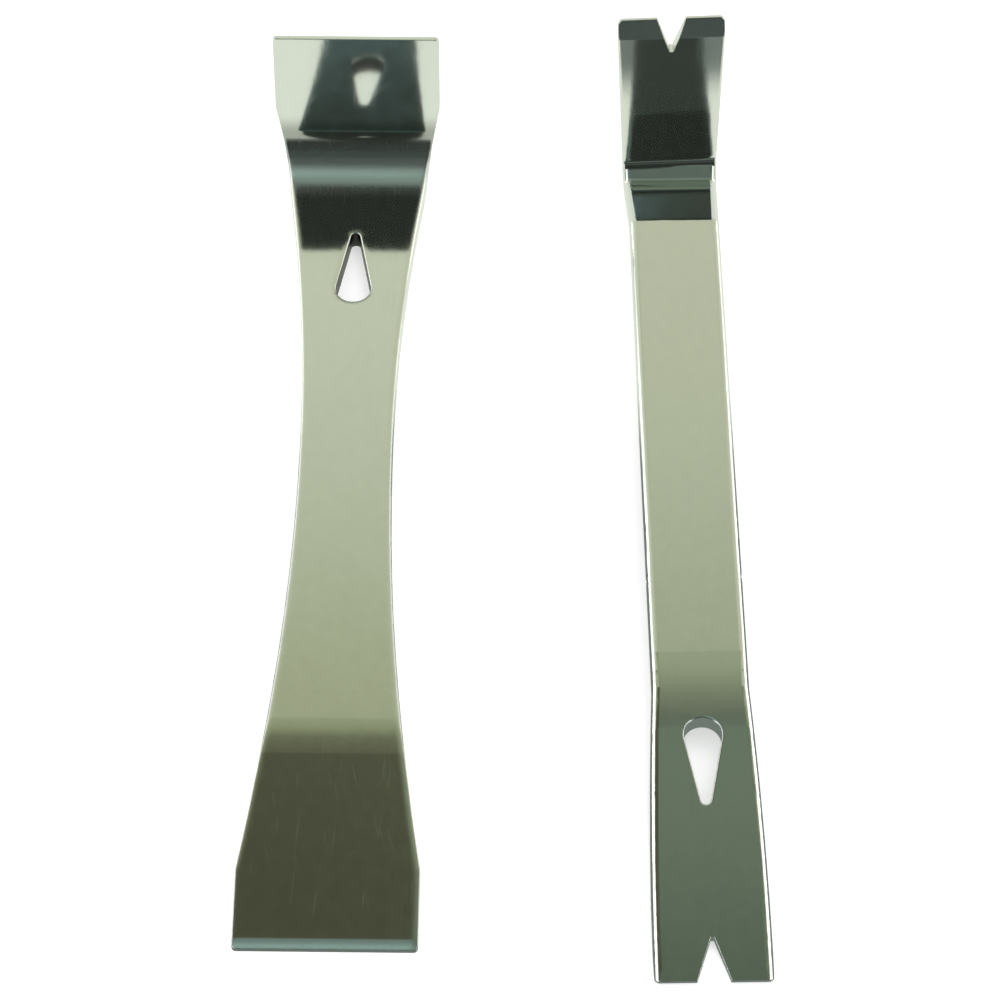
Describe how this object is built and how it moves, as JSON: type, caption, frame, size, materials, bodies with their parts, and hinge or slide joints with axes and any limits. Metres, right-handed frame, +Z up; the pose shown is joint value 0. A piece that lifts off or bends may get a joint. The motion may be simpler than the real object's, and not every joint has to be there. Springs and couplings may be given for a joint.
{
  "type": "pry bar set",
  "caption": "Set of polished steel pry bars: an hourglass scraper bar with broad blades, and a narrow nail bar with V claws and a dropped heel.",
  "frame": {"origin": "on the table, under the middle of the set's bounding box", "axes": "+X across the bars from the scraper bar to the nail bar, +Y from the flat tips to the upright blades, +Z up from the table"},
  "size_m": [0.1352, 0.2844, 0.0545],
  "materials": {
    "polished_stainless": "bright polish with fine lengthwise brushing"
  },
  "bodies": {
    "scraper_bar": {"scraper_bar": "polished_stainless"},
    "nail_bar": {"nail_bar": "polished_stainless"}
  },
  "joints": [
    {"name": "nail_bar_lift", "type": "slide", "parent": "scraper_bar", "child": "nail_bar", "axis": [0, 0, 1], "range_m": [0, 0.1]}
  ]
}
